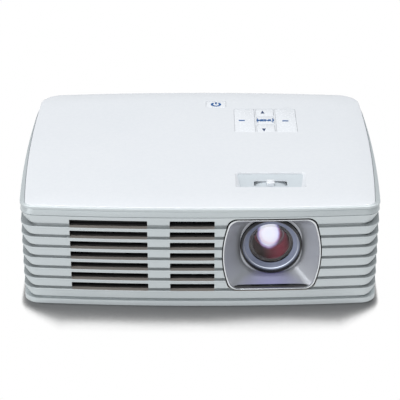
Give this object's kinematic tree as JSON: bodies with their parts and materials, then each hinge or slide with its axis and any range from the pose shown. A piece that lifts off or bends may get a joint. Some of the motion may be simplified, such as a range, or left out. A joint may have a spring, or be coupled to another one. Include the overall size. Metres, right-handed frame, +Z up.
{
  "type": "projector",
  "caption": "Compact desktop projector in a louvred case with a glossy cover, top keys, a focus lever and a slim disc tray in its side.",
  "frame": {"origin": "on the resting plane, under the middle of the case", "axes": "+Z up, -Y out of the lens at the front, +X to the viewer's right, where the disc tray comes out"},
  "size_m": [0.218, 0.17, 0.07],
  "materials": {
    "silver_case": "satin silver paint over moulded plastic",
    "white_gloss": "high gloss pearl white",
    "white_keys": "gloss white with blue marks",
    "chrome_rim": "bright satin chrome",
    "grey_funnel": "satin gunmetal grey",
    "black_plastic": "fine matte",
    "lens_glass": "coated lens glass, violet sheen",
    "lit_glass": "lens lit from behind",
    "cast_metal": "die cast, fine grain",
    "sheet_steel": "zinc plated sheet",
    "finned_aluminium": "milled fins",
    "copper": "bare copper",
    "circuit_board": "solder mask",
    "blue_socket": "blue thermoplastic",
    "foot_rubber": "matte rubber",
    "brass_nut": "turned brass"
  },
  "bodies": {
    "case": {"base_case": "silver_case", "base_standoffs": "silver_case", "front_louvres": "silver_case", "side_louvres": "silver_case", "rear_louvres": "silver_case", "cover_trim": "silver_case", "top_cover": "white_gloss", "cover_standoffs": "white_gloss", "lens_rim": "chrome_rim", "lens_funnel": "grey_funnel", "rear_panel": "black_plastic", "intake_grille": "black_plastic", "lens_tube": "black_plastic", "fan_frame": "black_plastic", "av_jacks": "black_plastic", "dc_inlet": "black_plastic", "speaker": "black_plastic", "engine_base": "cast_metal", "engine_lid": "cast_metal", "drive_shelf": "sheet_steel", "drive_chassis": "sheet_steel", "drive_lid": "sheet_steel", "data_sockets": "sheet_steel", "case_screws": "sheet_steel", "main_heatsink": "finned_aluminium", "small_heatsinks": "finned_aluminium", "led_blue": "copper", "led_modules": "copper", "heat_pipes": "copper", "dmd_board": "circuit_board", "main_board": "circuit_board", "keypad_board": "circuit_board", "driver_board": "circuit_board", "vga_socket": "blue_socket", "rear_feet": "foot_rubber", "tripod_nut": "brass_nut"},
    "tray": {"disc_tray": "black_plastic", "tray_surround": "black_plastic", "tray_fascia": "silver_case", "spindle_motor": "sheet_steel", "sled_rods": "sheet_steel"},
    "rails": {"tray_rails": "sheet_steel"},
    "spindle": {"spindle_hub": "black_plastic"},
    "sled": {"laser_sled": "cast_metal"},
    "screw": {"lead_screw": "sheet_steel"},
    "eject": {"eject_button": "white_keys"},
    "fan": {"fan_rotor": "black_plastic"},
    "focus": {"focus_ring": "black_plastic", "focus_knob": "white_keys"},
    "lens": {"lens_barrel": "black_plastic", "front_lens": "lens_glass", "baffle_cone": "black_plastic", "inner_lens": "lit_glass"},
    "power": {"power_button": "white_keys"},
    "up": {"key_up": "white_keys"},
    "down": {"key_down": "white_keys"},
    "left": {"key_left": "white_keys"},
    "right": {"key_right": "white_keys"},
    "menu": {"key_menu": "white_keys"},
    "foot": {"front_foot": "foot_rubber"}
  },
  "joints": [
    {"name": "tray_slide", "type": "slide", "parent": "case", "child": "tray", "axis": [1, 0, 0], "range_m": [0, 0.112]},
    {"name": "rails_slide", "type": "slide", "parent": "case", "child": "rails", "axis": [1, 0, 0], "range_m": [0, 0.056]},
    {"name": "spindle_spin", "type": "hinge", "parent": "tray", "child": "spindle", "pos_m": [0.036, 0.005, 0.0125], "axis": [0, 0, 1], "continuous": true},
    {"name": "sled_slide", "type": "slide", "parent": "tray", "child": "sled", "axis": [0, 1, 0], "range_m": [0, 0.031]},
    {"name": "screw_turn", "type": "hinge", "parent": "tray", "child": "screw", "pos_m": [0.0529, 0.035, 0.0099], "axis": [0, 1, 0], "range_deg": [0, 2800]},
    {"name": "eject_press", "type": "slide", "parent": "tray", "child": "eject", "axis": [-1, 0, 0], "range_m": [0, 0.0008], "stiffness_N_per_m": 300},
    {"name": "fan_spin", "type": "hinge", "parent": "case", "child": "fan", "pos_m": [-0.0555, -0.066, 0.03], "axis": [0, 1, 0], "continuous": true},
    {"name": "focus_turn", "type": "hinge", "parent": "case", "child": "focus", "pos_m": [0.0427, -0.04855, 0.0377], "axis": [0, 1, 0], "range_deg": [-14, 14]},
    {"name": "lens_slide", "type": "slide", "parent": "case", "child": "lens", "axis": [0, -1, 0], "range_m": [-0.00098, 0.00098]},
    {"name": "power_press", "type": "slide", "parent": "case", "child": "power", "axis": [0, 0, -1], "range_m": [0, 0.0006], "stiffness_N_per_m": 400},
    {"name": "up_press", "type": "slide", "parent": "case", "child": "up", "axis": [0, 0, -1], "range_m": [0, 0.0006], "stiffness_N_per_m": 400},
    {"name": "down_press", "type": "slide", "parent": "case", "child": "down", "axis": [0, 0, -1], "range_m": [0, 0.0006], "stiffness_N_per_m": 400},
    {"name": "left_press", "type": "slide", "parent": "case", "child": "left", "axis": [0, 0, -1], "range_m": [0, 0.0006], "stiffness_N_per_m": 400},
    {"name": "right_press", "type": "slide", "parent": "case", "child": "right", "axis": [0, 0, -1], "range_m": [0, 0.0006], "stiffness_N_per_m": 400},
    {"name": "menu_press", "type": "slide", "parent": "case", "child": "menu", "axis": [0, 0, -1], "range_m": [0, 0.0006], "stiffness_N_per_m": 400},
    {"name": "foot_adjust", "type": "slide", "parent": "case", "child": "foot", "axis": [0, 0, -1], "range_m": [0, 0.006]}
  ],
  "couplings": [
    {"joint": "rails_slide", "follows": "tray_slide", "ratio": 0.5},
    {"joint": "screw_turn", "follows": "sled_slide", "rad_per_m": 1570.8},
    {"joint": "focus_turn", "follows": "lens_slide", "rad_per_m": 250}
  ]
}
